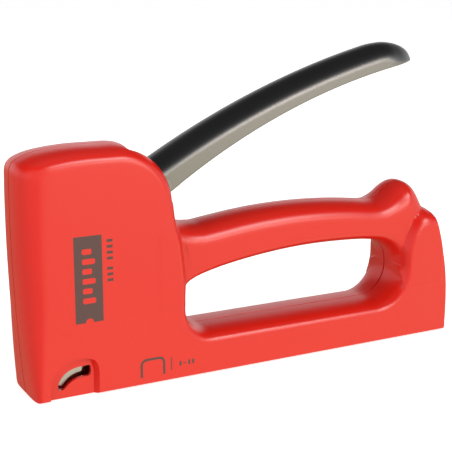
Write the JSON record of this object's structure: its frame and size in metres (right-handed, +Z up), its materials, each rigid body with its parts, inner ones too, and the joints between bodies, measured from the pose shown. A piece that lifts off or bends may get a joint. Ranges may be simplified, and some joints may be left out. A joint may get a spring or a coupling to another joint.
{
  "type": "staple gun",
  "caption": "Hand staple gun with a looped plastic body, a sprung squeeze lever, a driver blade at the nose and a bottom-loading magazine drawer.",
  "frame": {"origin": "middle of the nose plate's foot, on the plane that the tool stands on, where the staple leaves", "axes": "+X from the nose to the heel, +Y to the tool's right-hand shell, +Z up from the sole"},
  "size_m": [0.1802, 0.028, 0.1188],
  "materials": {
    "red_shell": "satin moulded ABS, fine grain on the side faces",
    "black_lacquer": "black stoved lacquer on pressed steel",
    "zinc_steel": "zinc-plated pressed steel",
    "bright_steel": "nickel-plated strip steel",
    "spring_steel": "oiled spring wire",
    "black_plastic": "moulded nylon",
    "white_nylon": "turned nylon",
    "black_rubber": "moulded rubber"
  },
  "bodies": {
    "body": {"left_shell": "red_shell", "right_shell": "red_shell", "shell_screws": "zinc_steel", "nose_plate": "bright_steel", "guide_frame": "zinc_steel", "magazine_channel": "bright_steel", "pivot_pin": "zinc_steel", "pivot_washers": "white_nylon", "bumper": "black_rubber", "spring_seat": "black_plastic", "main_spring": "spring_steel", "return_spring": "spring_steel", "staples": "bright_steel"},
    "lever": {"lever": "black_lacquer", "lift_fork": "zinc_steel", "fork_rivets": "zinc_steel"},
    "plunger": {"plunger": "zinc_steel", "driver_blade": "bright_steel", "blade_pin": "zinc_steel"},
    "drawer": {"magazine_rail": "bright_steel", "pusher_rod": "zinc_steel", "pusher_spring": "spring_steel", "end_cap": "black_plastic", "cap_pins": "zinc_steel", "latch_leaf": "spring_steel", "button_spring": "spring_steel"},
    "pusher": {"pusher": "black_plastic"},
    "release": {"release_button": "black_plastic"}
  },
  "joints": [
    {"name": "lever_swing", "type": "hinge", "parent": "body", "child": "lever", "pos_m": [0.038, 0, 0.068], "axis": [0, 1, 0], "range_deg": [0, 22], "stiffness_Nm_per_rad": 13, "springref_deg": -20.05, "deforming": ["return_spring"]},
    {"name": "plunger_lift", "type": "slide", "parent": "body", "child": "plunger", "axis": [0, 0, 1], "range_m": [0, 0.0114], "deforming": ["main_spring"]},
    {"name": "drawer_slide", "type": "slide", "parent": "body", "child": "drawer", "axis": [1, 0, 0], "range_m": [0, 0.095], "deforming": ["latch_leaf"]},
    {"name": "pusher_slide", "type": "slide", "parent": "drawer", "child": "pusher", "axis": [1, 0, 0], "range_m": [0, 0.045], "stiffness_N_per_m": 60, "springref_m": -0.06, "deforming": ["pusher_spring"]},
    {"name": "release_press", "type": "slide", "parent": "drawer", "child": "release", "axis": [0, 0, -1], "range_m": [0, 0.0016], "stiffness_N_per_m": 600, "springref_m": -0.0015, "deforming": ["latch_leaf", "button_spring"]}
  ],
  "couplings": [
    {"joint": "plunger_lift", "follows": "lever_swing", "m_per_rad": 0.029687}
  ]
}
